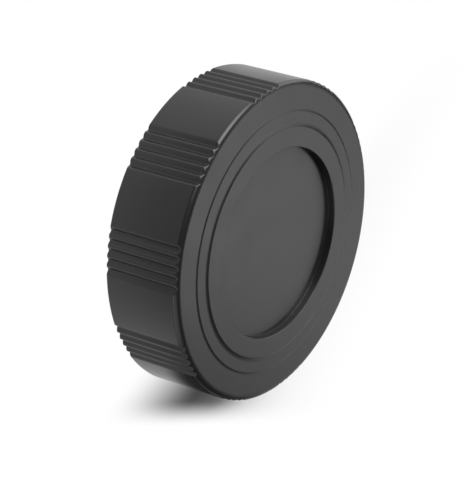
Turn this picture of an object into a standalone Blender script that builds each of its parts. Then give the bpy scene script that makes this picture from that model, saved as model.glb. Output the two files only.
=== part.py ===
"""A slip-on lens cap, moulded in one piece from dark satin plastic.

Units are metres. The cap lies on its open mouth. The origin is the centre of the mouth
rim's plane, and +Z runs along the cap's axis, out through its closed face.
"""
import math

import bmesh
import bpy

# Skirt
SKIRT_RADIUS = 0.0302               # outside of the plain skirt, in the plane of the face
CAP_HEIGHT = 0.01525                # mouth rim to the face's outer ring
SKIRT_DRAFT = math.radians(1.5)     # the skirt widens towards the mouth, to leave its mould
SKIRT_WALL = 0.0019                 # wall at the mouth
BORE_DRAFT = math.radians(0.8)      # the bore widens towards the mouth as well
RIM_ROUND = 0.0003                  # outer corner of the mouth rim
LEAD_IN_WIDTH = 0.0005              # chamfer that guides the lens barrel into the bore
LEAD_IN_HEIGHT = 0.0010

# Grip grooves, in groups with plain skirt between them
GROUP_COUNT = 10
GROUP_START = math.radians(18.0)    # the first group's middle, from +X
GROOVES_PER_GROUP = 5
GROOVE_PITCH = 0.00176              # from groove to groove, around the skirt
GROOVE_DEPTH = 0.00052
CREST_DROP = 0.00005                # the ridges between grooves stand this much below the skirt

# Face, from its edge to its middle
EDGE_ROUND_WIDTH = 0.0013           # soft edge between face and skirt, measured across the face
EDGE_ROUND_HEIGHT = 0.0009          # and down the skirt
OUTER_RING_WIDTH = 0.0054           # skirt to the middle of the first step
FIRST_STEP_HEIGHT = 0.00010
FIRST_STEP_WIDTH = 0.0005
MIDDLE_RING_WIDTH = 0.00265         # from the first step to the second
SECOND_STEP_HEIGHT = 0.00017
SECOND_STEP_WIDTH = 0.0009
INNER_RING_WIDTH = 0.00415          # from the second step to the pocket
POCKET_DEPTH = 0.0014
POCKET_EDGE_ROUND = 0.00015
POCKET_CORNER_ROUND = 0.0002
POCKET_DRAFT = math.radians(3.0)

# Inside
FACE_WALL = 0.0017                  # the face's wall, also behind the pocket
BORE_FILLET = 0.0008                # corner between bore and ceiling
BOSS_ROUND = 0.0004                 # both corners of the low boss behind the pocket

# Smoothness of the turned shape and of the grooves
TURN_STEPS = 90
EDGE_STEPS = 6                      # facets across the soft edge of the face
STEP_STEPS = 4                      # across each step of the face, and the bore's fillet
CORNER_STEPS = 3                    # across the small rounds
WAVE_STEPS = 8                      # across each groove
CUT_MARGIN = 0.0010                 # how far a cutter reaches past what it cuts
WELD_DISTANCE = 1e-6                # points closer than this are one
SHARP_CORNER = math.radians(35.0)   # corners sharper than this stay crisp when shaded

SATIN_BLACK = (0.0135, 0.0135, 0.014, 1.0)
SATIN_ROUGHNESS = 0.34


def skirt_radius_at(height):
    """Outer radius of the plain skirt at a height above the mouth."""
    return SKIRT_RADIUS + (CAP_HEIGHT - height) * math.tan(SKIRT_DRAFT)


def bore_radius_at(height):
    """Radius of the bore at a height above the mouth."""
    return skirt_radius_at(0.0) - SKIRT_WALL - height * math.tan(BORE_DRAFT)


def pocket_radius():
    """Radius of the pocket at its upper edge."""
    return SKIRT_RADIUS - OUTER_RING_WIDTH - MIDDLE_RING_WIDTH - INNER_RING_WIDTH


def pocket_floor():
    """Height of the pocket's floor above the mouth."""
    return CAP_HEIGHT + FIRST_STEP_HEIGHT + SECOND_STEP_HEIGHT - POCKET_DEPTH


def arc(centre, radii, start, end, steps):
    """Points along an elliptical arc in the profile's plane, both ends included."""
    points = []
    for index in range(steps + 1):
        angle = start + (end - start) * index / steps
        points.append((centre[0] + radii[0] * math.cos(angle), centre[1] + radii[1] * math.sin(angle)))
    return points


def corner(centre, size, start, end):
    """Points around a small round corner."""
    return arc(centre, (size, size), start, end, CORNER_STEPS)


def soft_step(radius, width, low, high):
    """Points down a step of the face: a crisp inner edge that eases out to the low outer side."""
    points = []
    for index in range(STEP_STEPS + 1):
        share = index / STEP_STEPS
        height = low + (high - low) * (1.0 - share) ** 2
        points.append((radius - width / 2 + width * share, height))
    return points


def face_profile():
    """The face, from the middle of the pocket's floor out to the skirt's upper end."""
    first_radius = SKIRT_RADIUS - OUTER_RING_WIDTH
    second_radius = first_radius - MIDDLE_RING_WIDTH
    middle_level = CAP_HEIGHT + FIRST_STEP_HEIGHT
    inner_level = middle_level + SECOND_STEP_HEIGHT
    floor_radius = pocket_radius() - POCKET_DEPTH * math.tan(POCKET_DRAFT)

    points = [(0.0, pocket_floor())]
    points += corner((floor_radius - POCKET_CORNER_ROUND, pocket_floor() + POCKET_CORNER_ROUND),
                     POCKET_CORNER_ROUND, -math.pi / 2, 0.0)
    points += corner((pocket_radius() + POCKET_EDGE_ROUND, inner_level - POCKET_EDGE_ROUND),
                     POCKET_EDGE_ROUND, math.pi, math.pi / 2)
    points += soft_step(second_radius, SECOND_STEP_WIDTH, middle_level, inner_level)
    points += soft_step(first_radius, FIRST_STEP_WIDTH, CAP_HEIGHT, middle_level)
    points += arc((SKIRT_RADIUS - EDGE_ROUND_WIDTH, CAP_HEIGHT - EDGE_ROUND_HEIGHT),
                  (EDGE_ROUND_WIDTH, EDGE_ROUND_HEIGHT), math.pi / 2, 0.0, EDGE_STEPS)
    return points


def rim_profile():
    """The skirt's lower end: its rounded corner, the flat rim and the bore's lead-in."""
    points = corner((skirt_radius_at(0.0) - RIM_ROUND, RIM_ROUND), RIM_ROUND, 0.0, -math.pi / 2)
    points.append((bore_radius_at(0.0) + LEAD_IN_WIDTH, 0.0))
    points.append((bore_radius_at(LEAD_IN_HEIGHT), LEAD_IN_HEIGHT))
    return points


def inside_profile():
    """The bore, the ceiling that the lens meets, and the low boss behind the pocket."""
    ceiling = CAP_HEIGHT - FACE_WALL
    boss_level = pocket_floor() - FACE_WALL
    boss_radius = pocket_radius() + FACE_WALL
    fillet_level = ceiling - BORE_FILLET

    points = arc((bore_radius_at(fillet_level) - BORE_FILLET, fillet_level),
                 (BORE_FILLET, BORE_FILLET), 0.0, math.pi / 2, STEP_STEPS)
    points += corner((boss_radius + BOSS_ROUND, ceiling - BOSS_ROUND),
                     BOSS_ROUND, math.pi / 2, math.pi)
    points += corner((boss_radius - BOSS_ROUND, boss_level + BOSS_ROUND),
                     BOSS_ROUND, 0.0, -math.pi / 2)
    points.append((0.0, boss_level))
    return points


def evaluated_mesh(item):
    """A plain mesh of an object as its curve or its modifiers shape it."""
    depsgraph = bpy.context.evaluated_depsgraph_get()
    return bpy.data.meshes.new_from_object(item.evaluated_get(depsgraph))


def groove_outline():
    """One group of grooves seen along the axis, as a closed outline centred on +X."""
    pitch = GROOVE_PITCH / SKIRT_RADIUS
    crest_radius = SKIRT_RADIUS - CREST_DROP
    points = []
    for index in range(1, GROOVES_PER_GROUP * WAVE_STEPS):
        turn = index / WAVE_STEPS
        radius = crest_radius - GROOVE_DEPTH * 0.5 * (1.0 - math.cos(2.0 * math.pi * turn))
        points.append((radius, (turn - GROOVES_PER_GROUP / 2) * pitch))

    # The end flanks leave the skirt at 45 degrees, and the outline closes outside it.
    last_radius, last_angle = points[-1]
    outside = SKIRT_RADIUS + CUT_MARGIN
    end_angle = last_angle + (outside - last_radius) / SKIRT_RADIUS
    points.append((outside, end_angle))
    points.append((outside + CUT_MARGIN, 0.0))
    points.append((outside, -end_angle))
    return [(radius * math.cos(angle), radius * math.sin(angle)) for radius, angle in points]


def groove_cutter(name, angle, collection):
    """A comb-shaped cutter for one group, which follows the skirt's draft."""
    outline = groove_outline()
    curve = bpy.data.curves.new(name, "CURVE")
    curve.dimensions = "2D"
    curve.fill_mode = "BOTH"
    curve.extrude = CAP_HEIGHT / 2 + CUT_MARGIN
    spline = curve.splines.new("POLY")
    spline.points.add(len(outline) - 1)
    for point, (x, y) in zip(spline.points, outline):
        point.co = (x, y, 0.0, 1.0)
    spline.use_cyclic_u = True
    outline_object = bpy.data.objects.new(name, curve)
    collection.objects.link(outline_object)
    mesh = evaluated_mesh(outline_object)
    bpy.data.objects.remove(outline_object)

    body = bmesh.new()
    body.from_mesh(mesh)
    bmesh.ops.remove_doubles(body, verts=body.verts, dist=WELD_DISTANCE)
    for vertex in body.verts:
        height = vertex.co.z + CAP_HEIGHT / 2
        widening = skirt_radius_at(height) / SKIRT_RADIUS
        vertex.co = (vertex.co.x * widening, vertex.co.y * widening, height)
    body.to_mesh(mesh)
    body.free()

    cutter = bpy.data.objects.new(name, mesh)
    cutter.rotation_euler.z = angle
    cutter.hide_render = True
    cutter.display_type = "WIRE"
    collection.objects.link(cutter)
    return cutter


def satin_plastic():
    """Dark plastic, moulded with a fine satin surface."""
    material = bpy.data.materials.new("satin_black_plastic")
    material.use_nodes = True
    shader = material.node_tree.nodes["Principled BSDF"]
    shader.inputs["Base Color"].default_value = SATIN_BLACK
    shader.inputs["Roughness"].default_value = SATIN_ROUGHNESS
    shader.inputs["Metallic"].default_value = 0.0
    material.diffuse_color = SATIN_BLACK
    return material


def turned_blank(name, collection):
    """The cap before its grip is cut: the closed profile turned around the axis."""
    points = face_profile() + rim_profile() + inside_profile()
    mesh = bpy.data.meshes.new(name)
    vertices = [(radius, 0.0, height) for radius, height in points]
    edges = [(index, index + 1) for index in range(len(points) - 1)]
    mesh.from_pydata(vertices, edges, [])
    blank = bpy.data.objects.new(name, mesh)
    collection.objects.link(blank)

    turn = blank.modifiers.new("turn", "SCREW")
    turn.axis = "Z"
    turn.angle = 2.0 * math.pi
    turn.steps = TURN_STEPS
    turn.render_steps = TURN_STEPS
    turn.use_merge_vertices = True
    turn.merge_threshold = WELD_DISTANCE
    return blank


def settle(body):
    """Make the modifiers' result the piece's own mesh, smooth except at its corners."""
    mesh = evaluated_mesh(body)
    body.modifiers.clear()
    body.data = mesh
    mesh.shade_smooth()
    mesh.set_sharp_from_angle(angle=SHARP_CORNER)


def make_cap(parts, cutters):
    """The finished cap, with its groups of grip grooves."""
    body = turned_blank("cap", parts)
    for index in range(GROUP_COUNT):
        angle = GROUP_START + index * 2.0 * math.pi / GROUP_COUNT
        cut = body.modifiers.new(f"grip_{index + 1}", "BOOLEAN")
        cut.operation = "DIFFERENCE"
        cut.solver = "EXACT"
        cut.object = groove_cutter(f"grip_cutter_{index + 1}", angle, cutters)
    settle(body)
    body.data.materials.clear()
    body.data.materials.append(satin_plastic())


for old in list(bpy.data.objects):
    bpy.data.objects.remove(old)

lens_cap = bpy.data.collections.new("slip_on_lens_cap")
grip_cutters = bpy.data.collections.new("grip_cutters")
bpy.context.scene.collection.children.link(lens_cap)
bpy.context.scene.collection.children.link(grip_cutters)

make_cap(lens_cap, grip_cutters)
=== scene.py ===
"""Looks of the slip-on lens cap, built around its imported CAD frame. Lengths are in metres."""

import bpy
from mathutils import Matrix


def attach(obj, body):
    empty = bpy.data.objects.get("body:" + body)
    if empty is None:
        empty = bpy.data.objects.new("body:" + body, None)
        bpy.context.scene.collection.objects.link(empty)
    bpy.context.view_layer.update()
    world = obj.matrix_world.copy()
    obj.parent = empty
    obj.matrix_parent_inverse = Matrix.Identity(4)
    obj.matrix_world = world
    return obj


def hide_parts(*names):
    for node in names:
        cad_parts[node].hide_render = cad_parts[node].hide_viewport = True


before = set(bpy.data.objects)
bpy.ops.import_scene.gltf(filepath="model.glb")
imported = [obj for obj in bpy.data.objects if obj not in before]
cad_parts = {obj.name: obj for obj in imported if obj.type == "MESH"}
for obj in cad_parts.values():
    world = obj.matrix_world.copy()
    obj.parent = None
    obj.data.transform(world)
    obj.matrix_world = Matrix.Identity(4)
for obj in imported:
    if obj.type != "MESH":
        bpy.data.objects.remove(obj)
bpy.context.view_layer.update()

import math

import bpy
from mathutils import Quaternion, Vector

# Camera
# A telephoto lens, a quarter of a metre from the cap, which lies on its mouth. In the
# photograph the cap's axis is nearly level, so the camera is rolled to match.
FACE_RING_HEIGHT = 0.01525
VIEW_HEADING = math.radians(71.35)
VIEW_PITCH = math.radians(-33.35)
VIEW_ROLL = math.radians(106.33)
VIEW_DISTANCE = 0.25408
FACE_RIGHT_OF_CENTRE = 0.00847
FACE_ABOVE_CENTRE = 0.00122
LENS_LENGTH = 99.83
SENSOR_WIDTH = 36.0
NEAR_LIMIT = 0.01

view_direction = Vector((
    math.cos(VIEW_PITCH) * math.cos(VIEW_HEADING),
    math.cos(VIEW_PITCH) * math.sin(VIEW_HEADING),
    math.sin(VIEW_PITCH),
))
view_turn = view_direction.to_track_quat("-Z", "Y") @ Quaternion((0.0, 0.0, 1.0), VIEW_ROLL)
face_from_camera = Vector((FACE_RIGHT_OF_CENTRE, FACE_ABOVE_CENTRE, -VIEW_DISTANCE))

camera_data = bpy.data.cameras.new("camera")
camera_data.lens = LENS_LENGTH
camera_data.sensor_width = SENSOR_WIDTH
camera_data.clip_start = NEAR_LIMIT
camera = bpy.data.objects.new("camera", camera_data)
camera.rotation_mode = "QUATERNION"
camera.rotation_quaternion = view_turn
camera.location = Vector((0.0, 0.0, FACE_RING_HEIGHT)) - view_turn @ face_from_camera
bpy.context.scene.collection.objects.link(camera)
bpy.context.scene.camera = camera


# Cap body
# One moulding of black ABS: a closed face with two low steps and a round pocket, and a skirt with
# a plain bore that slips over the lens barrel. It is turned from one profile, with the sizes of the
# frame and finer rounds on its edges.
SKIRT_RADIUS = 0.0302
SKIRT_DRAFT = math.radians(1.5)
SKIRT_WALL = 0.0019
BORE_DRAFT = math.radians(0.8)
RIM_ROUND = 0.0003
LEAD_IN_WIDTH = 0.0005
LEAD_IN_HEIGHT = 0.0010
EDGE_ROUND_WIDTH = 0.0013
EDGE_ROUND_HEIGHT = 0.0009
FIRST_STEP_RADIUS = 0.0248
FIRST_STEP_HEIGHT = 0.00010
FIRST_STEP_WIDTH = 0.0005
SECOND_STEP_RADIUS = 0.02215
SECOND_STEP_HEIGHT = 0.00017
SECOND_STEP_WIDTH = 0.0009
POCKET_RADIUS = 0.0180
POCKET_DEPTH = 0.0014
POCKET_EDGE_ROUND = 0.00015
POCKET_CORNER_ROUND = 0.00007
POCKET_DRAFT = math.radians(3.0)
FACE_WALL = 0.0017
BORE_FILLET = 0.0008
BOSS_ROUND = 0.0004
TURN_STEPS = 1080
HELD_END = 0.00008
MERGE_DISTANCE = 1e-6


def skirt_radius_at(height):
    """Outer radius of the plain skirt at a height above the mouth."""
    return SKIRT_RADIUS + (FACE_RING_HEIGHT - height) * math.tan(SKIRT_DRAFT)


def bore_radius_at(height):
    """Radius of the bore at a height above the mouth."""
    return skirt_radius_at(0.0) - SKIRT_WALL - height * math.tan(BORE_DRAFT)


def arc(centre, width, height, start, end, steps):
    """Points along an elliptical arc of the profile, given its start and end in quarter turns."""
    angles = [math.pi / 2 * (start + (end - start) * index / steps) for index in range(steps + 1)]
    return [(centre[0] + width * math.cos(angle), centre[1] + height * math.sin(angle)) for angle in angles]


def soft_step(radius, width, low, high, steps):
    """Points down a step of the face: a crisp inner edge that eases out to its low outer side."""
    points = []
    for index in range(steps + 1):
        share = index / steps
        height = low + (high - low) * (1.0 - share) ** 2
        points.append((radius + width * (share - 0.5), height))
    return points


def join_straight(points, more):
    """Adds points to a profile, with a held end at each side of the straight stretch between."""
    start = Vector(points[-1])
    end = Vector(more[0])
    hold = (end - start).normalized() * HELD_END
    return points + [tuple(start + hold), tuple(end - hold)] + more


def cap_profile():
    """Half of the cap's section, from the middle of the pocket's floor round to the boss."""
    middle_level = FACE_RING_HEIGHT + FIRST_STEP_HEIGHT
    inner_level = middle_level + SECOND_STEP_HEIGHT
    floor_level = inner_level - POCKET_DEPTH
    floor_radius = POCKET_RADIUS - POCKET_DEPTH * math.tan(POCKET_DRAFT)
    ceiling = FACE_RING_HEIGHT - FACE_WALL
    boss_level = floor_level - FACE_WALL
    boss_radius = POCKET_RADIUS + FACE_WALL
    skirt_end = FACE_RING_HEIGHT - EDGE_ROUND_HEIGHT
    fillet_level = ceiling - BORE_FILLET

    points = join_straight([(0.0, floor_level)], arc(
        (floor_radius - POCKET_CORNER_ROUND, floor_level + POCKET_CORNER_ROUND),
        POCKET_CORNER_ROUND, POCKET_CORNER_ROUND, -1, 0, 6))
    points = join_straight(points, arc(
        (POCKET_RADIUS + POCKET_EDGE_ROUND, inner_level - POCKET_EDGE_ROUND),
        POCKET_EDGE_ROUND, POCKET_EDGE_ROUND, 2, 1, 5))
    points = join_straight(points, soft_step(
        SECOND_STEP_RADIUS, SECOND_STEP_WIDTH, middle_level, inner_level, 8))
    points = join_straight(points, soft_step(
        FIRST_STEP_RADIUS, FIRST_STEP_WIDTH, FACE_RING_HEIGHT, middle_level, 6))
    points = join_straight(points, arc(
        (SKIRT_RADIUS - EDGE_ROUND_WIDTH, skirt_end), EDGE_ROUND_WIDTH, EDGE_ROUND_HEIGHT, 1, 0, 14))
    points = join_straight(points, arc(
        (skirt_radius_at(0.0) - RIM_ROUND, RIM_ROUND), RIM_ROUND, RIM_ROUND, 0, -1, 4))
    points = join_straight(points, [(bore_radius_at(0.0) + LEAD_IN_WIDTH, 0.0)])
    points = join_straight(points, [(bore_radius_at(LEAD_IN_HEIGHT), LEAD_IN_HEIGHT)])
    points = join_straight(points, arc(
        (bore_radius_at(fillet_level) - BORE_FILLET, fillet_level), BORE_FILLET, BORE_FILLET, 0, 1, 6))
    points = join_straight(points, arc(
        (boss_radius + BOSS_ROUND, ceiling - BOSS_ROUND), BOSS_ROUND, BOSS_ROUND, 1, 2, 4))
    points = join_straight(points, arc(
        (boss_radius - BOSS_ROUND, boss_level + BOSS_ROUND), BOSS_ROUND, BOSS_ROUND, 0, -1, 4))
    return join_straight(points, [(0.0, boss_level)])


profile = cap_profile()
body_mesh = bpy.data.meshes.new("cap_body")
body_mesh.from_pydata([(radius, 0.0, height) for radius, height in profile],
                      [(index, index + 1) for index in range(len(profile) - 1)], [])
cap_body = bpy.data.objects.new("cap_body", body_mesh)
bpy.context.scene.collection.objects.link(cap_body)

turn = cap_body.modifiers.new("turn", "SCREW")
turn.steps = TURN_STEPS
turn.render_steps = TURN_STEPS
turn.use_merge_vertices = True
turn.merge_threshold = MERGE_DISTANCE


# Satin finish
# Injection-moulded ABS, black, from a mould blasted to a fine satin. It gives the eye a soft
# broad sheen with no mirror image, and a grain that is just too fine to see by itself.
PLASTIC_COLOURS = ("#1d1d1d", "#202021")
PLASTIC_IOR = 1.5
ROUGHNESS_RANGE = (0.29, 0.34)
CLOUD_SIZE_MM = 7.0
CLOUD_DETAIL = 3.0
CLOUD_LEVELS = (0.3, 0.7)
GRAIN_SIZE_MM = 0.30
GRAIN_DETAIL = 2.0
GRAIN_RELIEF_MM = 0.004


def linear(hex_colour):
    """An sRGB hex colour turned to the linear values that a shader takes."""
    shares = [int(hex_colour[place:place + 2], 16) / 255 for place in (1, 3, 5)]
    levels = [share / 12.92 if share <= 0.04045 else ((share + 0.055) / 1.055) ** 2.4 for share in shares]
    return levels + [1.0]


def add_node(tree, kind, settings, links):
    """Adds a node to a tree, with its settings and what its inputs are linked to or hold."""
    node = tree.nodes.new(kind)
    for name, value in settings.items():
        setattr(node, name, value)
    for socket, value in links.items():
        if isinstance(value, bpy.types.NodeSocket):
            tree.links.new(value, node.inputs[socket])
        else:
            node.inputs[socket].default_value = value
    return node


def moulded_satin_abs():
    """The satin ABS, with slow clouds in its sheen and a fine moulded grain."""
    material = bpy.data.materials.new("moulded_satin_abs")
    material.use_nodes = True
    tree = material.node_tree
    shader = tree.nodes["Principled BSDF"]
    shader.inputs["IOR"].default_value = PLASTIC_IOR
    place = add_node(tree, "ShaderNodeTexCoord", {}, {}).outputs["Object"]
    clouds = add_node(tree, "ShaderNodeTexNoise", {}, {
        "Vector": place, "Scale": 1000.0 / CLOUD_SIZE_MM, "Detail": CLOUD_DETAIL}).outputs["Fac"]
    grain = add_node(tree, "ShaderNodeTexNoise", {}, {
        "Vector": place, "Scale": 1000.0 / GRAIN_SIZE_MM, "Detail": GRAIN_DETAIL}).outputs["Fac"]
    roughness = add_node(tree, "ShaderNodeMapRange", {}, {
        "Value": clouds, "From Min": CLOUD_LEVELS[0], "From Max": CLOUD_LEVELS[1],
        "To Min": ROUGHNESS_RANGE[0], "To Max": ROUGHNESS_RANGE[1]})
    colour = add_node(tree, "ShaderNodeMix", {"data_type": "RGBA"}, {
        "Factor": clouds, "A": linear(PLASTIC_COLOURS[0]), "B": linear(PLASTIC_COLOURS[1])})
    relief = add_node(tree, "ShaderNodeBump", {}, {
        "Height": grain, "Distance": GRAIN_RELIEF_MM / 1000.0, "Strength": 1.0})
    tree.links.new(colour.outputs["Result"], shader.inputs["Base Color"])
    tree.links.new(roughness.outputs["Result"], shader.inputs["Roughness"])
    tree.links.new(relief.outputs["Normal"], shader.inputs["Normal"])
    return material


# Grip grooves
# Ten groups of five rounded grooves for the fingers, moulded in one with the skirt from the mouth
# rim out through the soft edge of the face. Geometry nodes press them into the turned body and
# finish the piece.
GROUP_COUNT = 10
GROUP_START = math.radians(18.0)
GROOVES_PER_GROUP = 5
GROOVE_PITCH = 0.00176
GROOVE_DEPTH = 0.00052
CREST_DROP = 0.00005
GROOVE_EDGE_ROUND = 0.00012
WAVE_STEPS = 8
OUTSIDE_SHARE = 0.9
SHARP_ANGLE = math.radians(40.0)


def grip_tree():
    """Geometry nodes that press groups of grooves into a turned skirt."""
    tree = bpy.data.node_groups.new("grip_grooves", "GeometryNodeTree")
    tree.interface.new_socket("Geometry", in_out="INPUT", socket_type="NodeSocketGeometry")
    for name in ("Group Angle", "First Group", "Grooves", "Pitch", "Depth", "Crest Drop", "Edge Round",
                 "Skirt Radius", "Skirt Height", "Draft Slope"):
        tree.interface.new_socket(name, in_out="INPUT", socket_type="NodeSocketFloat")
    tree.interface.new_socket("Material", in_out="INPUT", socket_type="NodeSocketMaterial")
    tree.interface.new_socket("Geometry", in_out="OUTPUT", socket_type="NodeSocketGeometry")
    given = tree.nodes.new("NodeGroupInput").outputs

    place = add_node(tree, "GeometryNodeInputPosition", {}, {}).outputs[0]
    parts = add_node(tree, "ShaderNodeSeparateXYZ", {}, {0: place}).outputs
    flat = add_node(tree, "ShaderNodeCombineXYZ", {}, {0: parts["X"], 1: parts["Y"]}).outputs[0]
    radius = add_node(tree, "ShaderNodeVectorMath", {"operation": "LENGTH"}, {0: flat}).outputs["Value"]
    known = {socket.name: socket for socket in (*given, *parts)}
    known["radius"] = radius

    # Each row works out one value from numbers, named inputs, the point's X, Y, Z and radius, and
    # the rows above it.
    end_share = 0.5 - 0.5 * math.cos(2.0 * math.pi / WAVE_STEPS)
    for name, operation, *terms in (
            # Arc length from the middle of the nearest group.
            ("angle", "ARCTAN2", "Y", "X"),
            ("half group", "MULTIPLY", "Group Angle", 0.5),
            ("minus half group", "MULTIPLY", "half group", -1.0),
            ("from first", "SUBTRACT", "angle", "First Group"),
            ("from nearest", "WRAP", "from first", "half group", "minus half group"),
            ("signed length", "MULTIPLY", "from nearest", "Skirt Radius"),
            ("length", "ABSOLUTE", "signed length"),
            # Depth of the grooves there: a wave with a groove in the middle of the group.
            ("turns", "DIVIDE", "length", "Pitch"),
            ("phase", "MULTIPLY", "turns", 2.0 * math.pi),
            ("wave", "COSINE", "phase"),
            ("groove share", "MULTIPLY_ADD", "wave", 0.5, 0.5),
            ("groove", "MULTIPLY", "groove share", "Depth"),
            ("comb", "ADD", "groove", "Crest Drop"),
            # The 45 degree flank that ends the wave on each side.
            ("end turns", "MULTIPLY_ADD", "Grooves", 0.5, -1.0 / WAVE_STEPS),
            ("end length", "MULTIPLY", "end turns", "Pitch"),
            ("end depth", "MULTIPLY_ADD", "Depth", end_share, "Crest Drop"),
            ("flank start", "ADD", "end length", "end depth"),
            ("flank", "SUBTRACT", "flank start", "length"),
            ("pressed depth", "MINIMUM", "comb", "flank"),
            # The comb's surface at this height, and the body's radius limited by it.
            ("below face", "SUBTRACT", "Skirt Height", "Z"),
            ("skirt", "MULTIPLY_ADD", "below face", "Draft Slope", "Skirt Radius"),
            ("comb radius", "SUBTRACT", "skirt", "pressed depth"),
            ("new radius", "SMOOTH_MIN", "radius", "comb radius", "Edge Round"),
            ("ratio", "DIVIDE", "new radius", "radius"),
            ("new x", "MULTIPLY", "X", "ratio"),
            ("new y", "MULTIPLY", "Y", "ratio"),
            # Only the outside of the skirt is pressed.
            ("inner limit", "MULTIPLY", "Skirt Radius", OUTSIDE_SHARE),
            ("outside", "GREATER_THAN", "radius", "inner limit")):
        known[name] = add_node(tree, "ShaderNodeMath", {"operation": operation}, {
            index: known.get(term, term) for index, term in enumerate(terms)}).outputs[0]

    pressed = add_node(tree, "ShaderNodeCombineXYZ", {}, {
        0: known["new x"], 1: known["new y"], 2: known["Z"]}).outputs[0]
    moved = add_node(tree, "GeometryNodeSetPosition", {}, {
        "Geometry": given["Geometry"], "Selection": known["outside"], "Position": pressed}).outputs[0]
    real = add_node(tree, "GeometryNodeRealizeInstances", {}, {"Geometry": moved}).outputs[0]
    finished = add_node(tree, "GeometryNodeSetMaterial", {}, {
        "Geometry": real, "Material": given["Material"]}).outputs[0]
    add_node(tree, "NodeGroupOutput", {}, {"Geometry": finished})
    return tree


grip = cap_body.modifiers.new("grip", "NODES")
grip.node_group = grip_tree()
grip_values = {
    "Group Angle": 2.0 * math.pi / GROUP_COUNT,
    "First Group": GROUP_START,
    "Grooves": float(GROOVES_PER_GROUP),
    "Pitch": GROOVE_PITCH,
    "Depth": GROOVE_DEPTH,
    "Crest Drop": CREST_DROP,
    "Edge Round": GROOVE_EDGE_ROUND,
    "Skirt Radius": SKIRT_RADIUS,
    "Skirt Height": FACE_RING_HEIGHT,
    "Draft Slope": math.tan(SKIRT_DRAFT),
    "Material": moulded_satin_abs(),
}
for socket in grip.node_group.interface.items_tree:
    if socket.name in grip_values:
        grip[socket.identifier] = grip_values[socket.name]

depsgraph = bpy.context.evaluated_depsgraph_get()
finished_mesh = bpy.data.meshes.new_from_object(cap_body.evaluated_get(depsgraph))
cap_body.modifiers.clear()
cap_body.data = finished_mesh
finished_mesh.shade_smooth()
finished_mesh.set_sharp_from_angle(angle=SHARP_ANGLE)

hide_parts("cap")
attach(cap_body, "root")


# Floor
# A plain white table top. It keeps the cap's shadow beside and behind its foot and is washed out
# to white elsewhere, and painted shade darkens its colour where it meets the cap's rim. What the
# cap mirrors of it is a painted reflection: it dims towards the viewer and holds a painted shadow.
# Headings are in degrees, and each pair of lengths is where a fade starts and ends.
FLOOR_SIZE = 6.0
TABLE_COLOUR = "#f4f4f4"
TABLE_ROUGHNESS = 0.9
# Painted contact shade on the table's colour.
CONTACT_SAMPLES = 8
CONTACT_REACH = 0.014
CONTACT_POWER = 4.0
SHADOW_HEADING = 30.0
SHADOW_START = (0.0115, 0.0305)
SHADOW_SIDE_HEADING = 345.0
SHADOW_SIDE = (0.0345, 0.0400)
SHADOW_END_HEADING = 55.0
SHADOW_END = (0.025, 0.075)
# Painted shadow and painted dimming in what the cap mirrors of the table.
MIRRORED_SHADOW_PLACE = (0.094, -0.008, 0.0)
MIRRORED_SHADOW_EDGE = (0.0562, 0.0632)
MIRRORED_SHADOW_LEVEL = 0.04
FRONT_HEADING = 262.0
FRONT_FADE = (0.025, 0.050)
FRONT_BRIGHTNESS = 0.5

bpy.ops.mesh.primitive_plane_add(size=FLOOR_SIZE)
floor = bpy.context.object
floor.name = "floor"
floor_material = bpy.data.materials.new("white_table")
floor_material.use_nodes = True
table = floor_material.node_tree
table_shader = table.nodes["Principled BSDF"]
table_shader.inputs["Roughness"].default_value = TABLE_ROUGHNESS
table_shader.inputs["Specular IOR Level"].default_value = 0.0
table_place = add_node(table, "ShaderNodeTexCoord", {}, {}).outputs["Object"]


def fade_towards(heading, edge, low, high):
    """A soft change of level across the table, on the way from the cap's axis to a heading."""
    heading = math.radians(heading)
    reach = add_node(table, "ShaderNodeVectorMath", {"operation": "DOT_PRODUCT"}, {
        0: table_place, 1: (math.cos(heading), math.sin(heading), 0.0)}).outputs["Value"]
    return add_node(table, "ShaderNodeMapRange", {"interpolation_type": "SMOOTHSTEP"}, {
        "Value": reach, "From Min": edge[0], "From Max": edge[1],
        "To Min": low, "To Max": high}).outputs["Result"]


# Painted shade: the table's colour is darkened by its openness where it meets the cap's rim, as contact
# shade.
openness = add_node(table, "ShaderNodeAmbientOcclusion", {"samples": CONTACT_SAMPLES}, {
    "Distance": CONTACT_REACH}).outputs["AO"]
painted_contact_shade = add_node(table, "ShaderNodeMath", {"operation": "POWER"}, {
    0: openness, 1: CONTACT_POWER}).outputs[0]
table_colour_with_painted_shade = add_node(table, "ShaderNodeMix", {"data_type": "RGBA"}, {
    "Factor": painted_contact_shade, "A": linear("#000000"), "B": linear(TABLE_COLOUR)}).outputs["Result"]
table.links.new(table_colour_with_painted_shade, table_shader.inputs["Base Color"])

# The white that the camera sees goes at the start of the shadow and comes back at its side and at
# its end, so each fade begins with the level of the one before it.
white_before_start = fade_towards(SHADOW_HEADING, SHADOW_START, 1.0, 0.0)
white_past_side = fade_towards(SHADOW_SIDE_HEADING, SHADOW_SIDE, white_before_start, 1.0)
seen_white = fade_towards(SHADOW_END_HEADING, SHADOW_END, white_past_side, 1.0)

# Painted reflection: the white that the cap mirrors is dimmed towards the viewer, and a painted shadow
# leaves it nearly gone in a circle beside the cap.
from_mirrored_shadow = add_node(table, "ShaderNodeVectorMath", {"operation": "DISTANCE"}, {
    0: table_place, 1: MIRRORED_SHADOW_PLACE}).outputs["Value"]
past_mirrored_shadow = add_node(table, "ShaderNodeMapRange", {"interpolation_type": "SMOOTHSTEP"}, {
    "Value": from_mirrored_shadow, "From Min": MIRRORED_SHADOW_EDGE[0], "From Max": MIRRORED_SHADOW_EDGE[1],
    "To Min": MIRRORED_SHADOW_LEVEL, "To Max": 1.0}).outputs["Result"]
painted_mirrored_white = add_node(table, "ShaderNodeMath", {"operation": "MULTIPLY"}, {
    0: past_mirrored_shadow, 1: fade_towards(FRONT_HEADING, FRONT_FADE, 1.0, FRONT_BRIGHTNESS)}).outputs[0]
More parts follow.
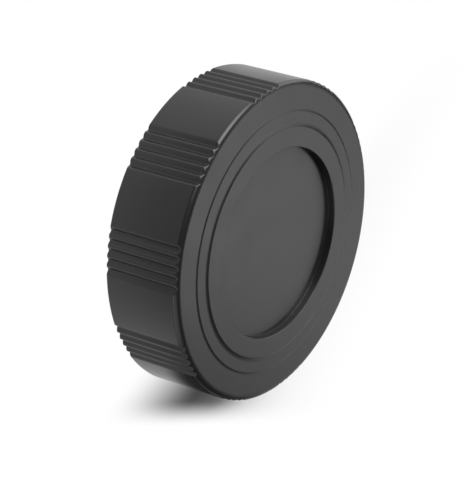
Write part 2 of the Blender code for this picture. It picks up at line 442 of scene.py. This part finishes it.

# The camera sees white outside the kept shadow, and the cap mirrors the painted white all over the
# table. The light that bounces off it has the table's colour with its painted shade.
table_path = add_node(table, "ShaderNodeLightPath", {}, {}).outputs
table_share = add_node(table, "ShaderNodeMix", {}, {
    "Factor": table_path["Is Camera Ray"],
    "A": table_path["Is Glossy Ray"], "B": seen_white}).outputs["Result"]
table_strength = add_node(table, "ShaderNodeMix", {}, {
    "Factor": table_path["Is Glossy Ray"], "A": 1.0, "B": painted_mirrored_white}).outputs["Result"]
table_white = add_node(table, "ShaderNodeEmission", {}, {"Strength": table_strength}).outputs[0]
table_mix = add_node(table, "ShaderNodeMixShader", {}, {
    0: table_share, 1: table_shader.outputs[0], 2: table_white}).outputs[0]
table.links.new(table_mix, table.nodes["Material Output"].inputs["Surface"])
floor.data.materials.append(floor_material)


# Light
# A dark studio with soft boxes. The key and two low boxes stand on one side and light the
# skirt. The face mirrors two dim ones behind the cap, and two weak ones fill the other side.
# Only the camera sees the room white.
BOX_DISTANCE = 1.0


def soft_box(name, heading, elevation, width, height, radiance):
    """An area lamp that faces the cap from a heading and an elevation in degrees."""
    lamp = bpy.data.lights.new(name, "AREA")
    lamp.shape = "RECTANGLE"
    lamp.size = width
    lamp.size_y = height
    lamp.energy = radiance * math.pi * width * height
    box = bpy.data.objects.new(name, lamp)
    heading = math.radians(heading)
    elevation = math.radians(elevation)
    away = Vector((math.cos(elevation) * math.cos(heading), math.cos(elevation) * math.sin(heading),
                   math.sin(elevation)))
    box.location = away * BOX_DISTANCE
    box.rotation_mode = "QUATERNION"
    box.rotation_quaternion = away.to_track_quat("Z", "Y")
    bpy.context.scene.collection.objects.link(box)


soft_box("key_box", 188.0, 45.0, 0.8, 0.55, 7.2)
soft_box("left_side_box", 190.0, 17.0, 0.85, 0.58, 2.4)
soft_box("right_side_box", 140.0, 17.0, 0.85, 0.58, 2.4)
soft_box("far_upper_box", 87.0, 42.0, 0.62, 0.335, 2.15)
soft_box("far_lower_box", 67.0, 17.0, 0.55, 0.35, 1.0)
soft_box("low_fill_box", 315.0, 8.5, 1.0, 0.28, 2.4)
soft_box("high_fill_box", 328.0, 42.0, 0.8, 0.6, 1.0)

world = bpy.data.worlds.new("room")
world.use_nodes = True
room = world.node_tree
room_light = room.nodes["Background"]
room_light.inputs["Color"].default_value = linear("#ffffff")
seen_by_camera = add_node(room, "ShaderNodeLightPath", {}, {}).outputs["Is Camera Ray"]
room.links.new(seen_by_camera, room_light.inputs["Strength"])
bpy.context.scene.world = world

bpy.context.scene.view_settings.view_transform = "Standard"
